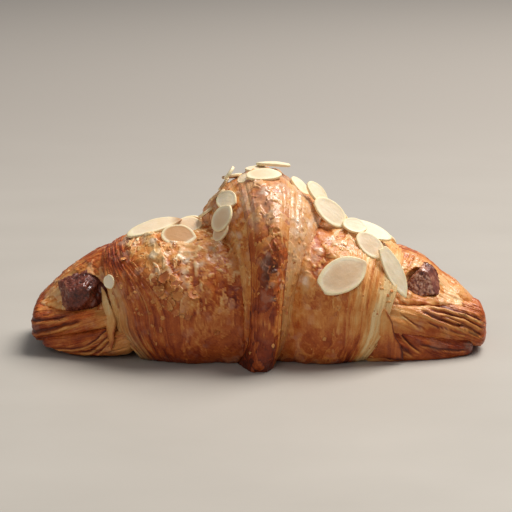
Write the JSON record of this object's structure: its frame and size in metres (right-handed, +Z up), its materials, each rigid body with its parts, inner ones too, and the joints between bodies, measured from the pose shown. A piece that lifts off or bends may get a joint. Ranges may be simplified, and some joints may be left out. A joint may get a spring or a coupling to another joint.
{
  "type": "filled croissant",
  "caption": "Baked croissant of laminated dough rolled round a dark filling that shows at both ends, topped with sliced almonds and glaze; lies flat on its underside.",
  "frame": {"origin": "centre of the bounding box at the underside, on the surface that the croissant lies on", "axes": "+X along the roll from tip to tip, -Y the front where the tongue of the dough comes down, +Z up"},
  "size_m": [0.16, 0.0728, 0.0651],
  "materials": {
    "pastry": "baked laminated dough, golden to dark brown, flaky, with patches of clear to whitish sugar glaze",
    "filling": "dark chocolate-brown filling, rough lumps with a moist sheen",
    "almond": "sliced almond, ivory rim and tan centre, satin"
  },
  "bodies": {
    "root": {"pastry": "pastry", "filling": "filling", "almond_slice_01": "almond", "almond_slice_02": "almond", "almond_slice_03": "almond", "almond_slice_04": "almond", "almond_slice_05": "almond", "almond_slice_06": "almond", "almond_slice_07": "almond", "almond_slice_08": "almond", "almond_slice_09": "almond", "almond_slice_10": "almond", "almond_slice_11": "almond", "almond_slice_12": "almond", "almond_slice_13": "almond", "almond_slice_14": "almond", "almond_slice_15": "almond", "almond_slice_16": "almond", "almond_slice_17": "almond", "almond_slice_18": "almond", "almond_slice_19": "almond", "almond_slice_20": "almond", "almond_slice_21": "almond", "almond_slice_22": "almond", "almond_slice_23": "almond", "almond_slice_24": "almond", "almond_slice_25": "almond", "almond_slice_26": "almond", "almond_slice_27": "almond", "almond_slice_28": "almond", "almond_slice_29": "almond", "almond_slice_30": "almond", "almond_slice_31": "almond", "almond_slice_32": "almond", "almond_slice_33": "almond"}
  },
  "joints": []
}
